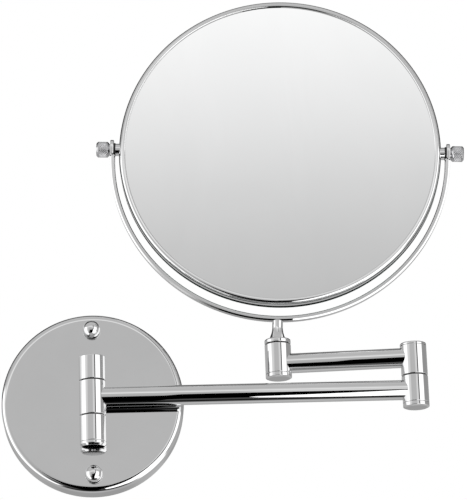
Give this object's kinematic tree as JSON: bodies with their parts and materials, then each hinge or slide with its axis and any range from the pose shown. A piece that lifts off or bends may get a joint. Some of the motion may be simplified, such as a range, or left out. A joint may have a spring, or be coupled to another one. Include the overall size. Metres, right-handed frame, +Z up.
{
  "type": "wall mounted extendable mirror",
  "caption": "Round two-sided mirror in a half-ring yoke on a folding two-part arm that swings on a hinge post on a round wall plate.",
  "frame": {"origin": "centre of the wall plate's back, in the wall's plane", "axes": "+Z up, +X to the right of someone who faces the wall, +Y into the wall"},
  "size_m": [0.2989, 0.0347, 0.3243],
  "materials": {
    "polished_chrome": "bright chrome plating on brass and steel, mirror polished",
    "knurled_chrome": "chrome plating over a fine diamond knurl",
    "zinc_plated_steel": "bright zinc plate on hidden fasteners",
    "spring_steel": "plain spring steel",
    "mirror_glass": "silvered float glass",
    "nylon": "natural nylon bushes",
    "black_nylon": "black nylon washers",
    "foam_rubber": "closed-cell foam ring"
  },
  "bodies": {
    "wall_mount": {"wall_plate": "polished_chrome", "fixing_bar": "zinc_plated_steel", "plate_studs": "zinc_plated_steel", "dome_nuts": "polished_chrome", "upper_knuckle": "polished_chrome", "lower_knuckle": "polished_chrome", "knuckle_screws": "zinc_plated_steel", "wall_bolt": "zinc_plated_steel", "wall_post_cap": "polished_chrome"},
    "long_arm": {"wall_hub": "polished_chrome", "wall_bushes": "nylon", "long_tube": "polished_chrome", "elbow_lower_hub": "polished_chrome", "elbow_bolt": "zinc_plated_steel", "elbow_bottom_cap": "polished_chrome", "elbow_lock_nut": "zinc_plated_steel", "elbow_wave_washer": "spring_steel"},
    "short_arm": {"elbow_upper_hub": "polished_chrome", "elbow_bushes": "nylon", "elbow_top_cap": "polished_chrome", "short_tube": "polished_chrome", "swivel_hub": "polished_chrome", "swivel_bushes": "nylon", "swivel_bottom_cap": "polished_chrome"},
    "yoke_frame": {"swivel_cap": "polished_chrome", "swivel_spindle": "zinc_plated_steel", "swivel_lock_nut": "zinc_plated_steel", "swivel_wave_washer": "spring_steel", "flared_stem": "polished_chrome", "yoke": "polished_chrome"},
    "mirror_head": {"frame_band": "polished_chrome", "rear_bezel": "polished_chrome", "front_glass": "mirror_glass", "rear_glass": "mirror_glass", "glass_spacer": "foam_rubber", "tilt_studs": "polished_chrome", "stud_washers": "black_nylon"},
    "knob_left": {"left_knob": "knurled_chrome"},
    "knob_right": {"right_knob": "knurled_chrome"}
  },
  "joints": [
    {"name": "wall_hinge", "type": "hinge", "parent": "wall_mount", "child": "long_arm", "pos_m": [0, -0.02645, 0], "axis": [0, 0, 1], "range_deg": [-180, 0]},
    {"name": "elbow_hinge", "type": "hinge", "parent": "long_arm", "child": "short_arm", "pos_m": [0.2015, -0.02645, 0.0219], "axis": [0, 0, 1], "continuous": true},
    {"name": "yoke_swivel", "type": "hinge", "parent": "short_arm", "child": "yoke_frame", "pos_m": [0.11698, -0.01742, 0.0341], "axis": [0, 0, 1], "continuous": true},
    {"name": "mirror_tilt", "type": "hinge", "parent": "yoke_frame", "child": "mirror_head", "pos_m": [0.12334, -0.01776, 0.16324], "axis": [0.9973, -0.054, -0.0506], "continuous": true},
    {"name": "left_knob_turn", "type": "hinge", "parent": "mirror_head", "child": "knob_left", "pos_m": [0.12334, -0.01776, 0.16324], "axis": [-0.9973, 0.054, 0.0506], "range_deg": [-90, 360]},
    {"name": "right_knob_turn", "type": "hinge", "parent": "mirror_head", "child": "knob_right", "pos_m": [0.12334, -0.01776, 0.16324], "axis": [0.9973, -0.054, -0.0506], "range_deg": [-90, 360]}
  ]
}
